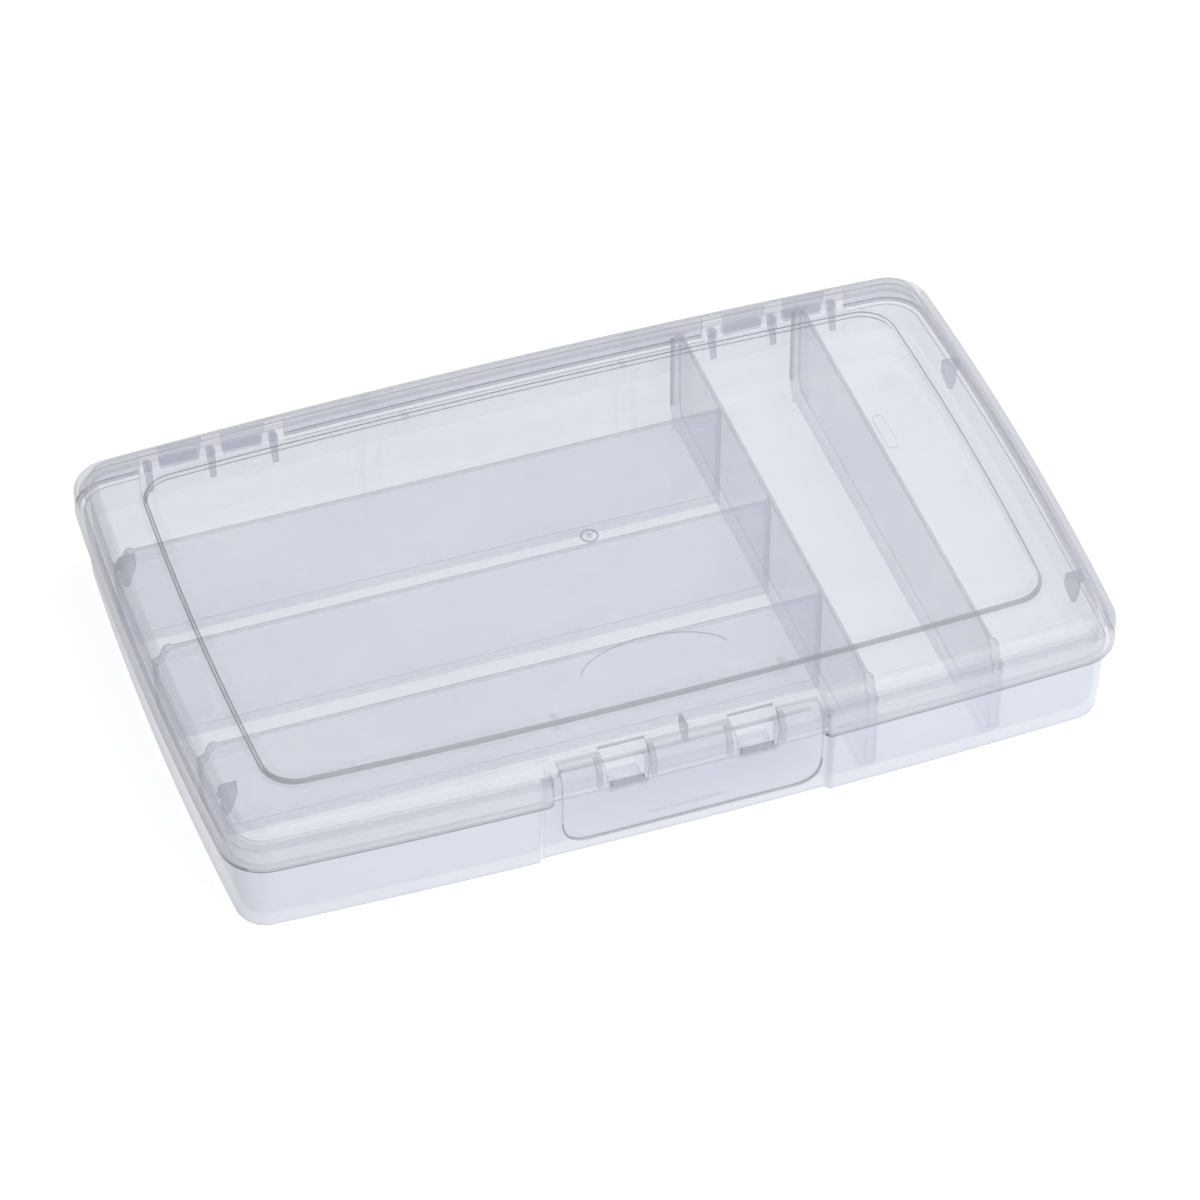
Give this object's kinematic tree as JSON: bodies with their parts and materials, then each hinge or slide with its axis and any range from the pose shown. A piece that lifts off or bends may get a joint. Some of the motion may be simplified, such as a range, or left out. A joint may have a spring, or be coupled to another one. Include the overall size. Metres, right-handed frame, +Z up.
{
  "type": "fishing tackle box",
  "caption": "Flat translucent plastic tackle box with moulded dividers, a hinged lid and a front latch flap on a film hinge.",
  "frame": {"origin": "middle of the underside of the closed box", "axes": "+X along the length, to the right seen from the latch side; +Y from the latch to the hinges; +Z up out of the lid"},
  "size_m": [0.276, 0.1778, 0.0414],
  "materials": {
    "tray_plastic": "moulded translucent polypropylene",
    "divider_plastic": "moulded translucent polypropylene",
    "lid_plastic": "moulded translucent polypropylene",
    "latch_plastic": "moulded translucent polypropylene"
  },
  "bodies": {
    "tray": {"base_tray": "tray_plastic", "long_divider_front": "divider_plastic", "long_divider_middle": "divider_plastic", "long_divider_rear": "divider_plastic", "cross_divider_left": "divider_plastic", "cross_divider_right": "divider_plastic", "catch_left": "tray_plastic", "catch_right": "tray_plastic", "base_hinge_left": "tray_plastic", "base_hinge_right": "tray_plastic", "hinge_pin_left": "tray_plastic", "hinge_pin_right": "tray_plastic"},
    "lid": {"lid_shell": "lid_plastic", "lid_hinge_left": "lid_plastic", "lid_hinge_right": "lid_plastic", "lid_web_left_front": "lid_plastic", "lid_web_left_rear": "lid_plastic", "lid_web_right_front": "lid_plastic", "lid_web_right_rear": "lid_plastic", "lid_web_front": "lid_plastic"},
    "latch": {"latch_flap": "latch_plastic", "latch_ribs": "latch_plastic", "film_hinge": "latch_plastic"}
  },
  "joints": [
    {"name": "lid_hinge", "type": "hinge", "parent": "tray", "child": "lid", "pos_m": [0, 0.087, 0.0268], "axis": [-1, 0, 0], "range_deg": [0, 180]},
    {"name": "latch_hinge", "type": "hinge", "parent": "lid", "child": "latch", "pos_m": [0, -0.0822, 0.04005], "axis": [-1, 0, 0], "range_deg": [0, 85]}
  ]
}
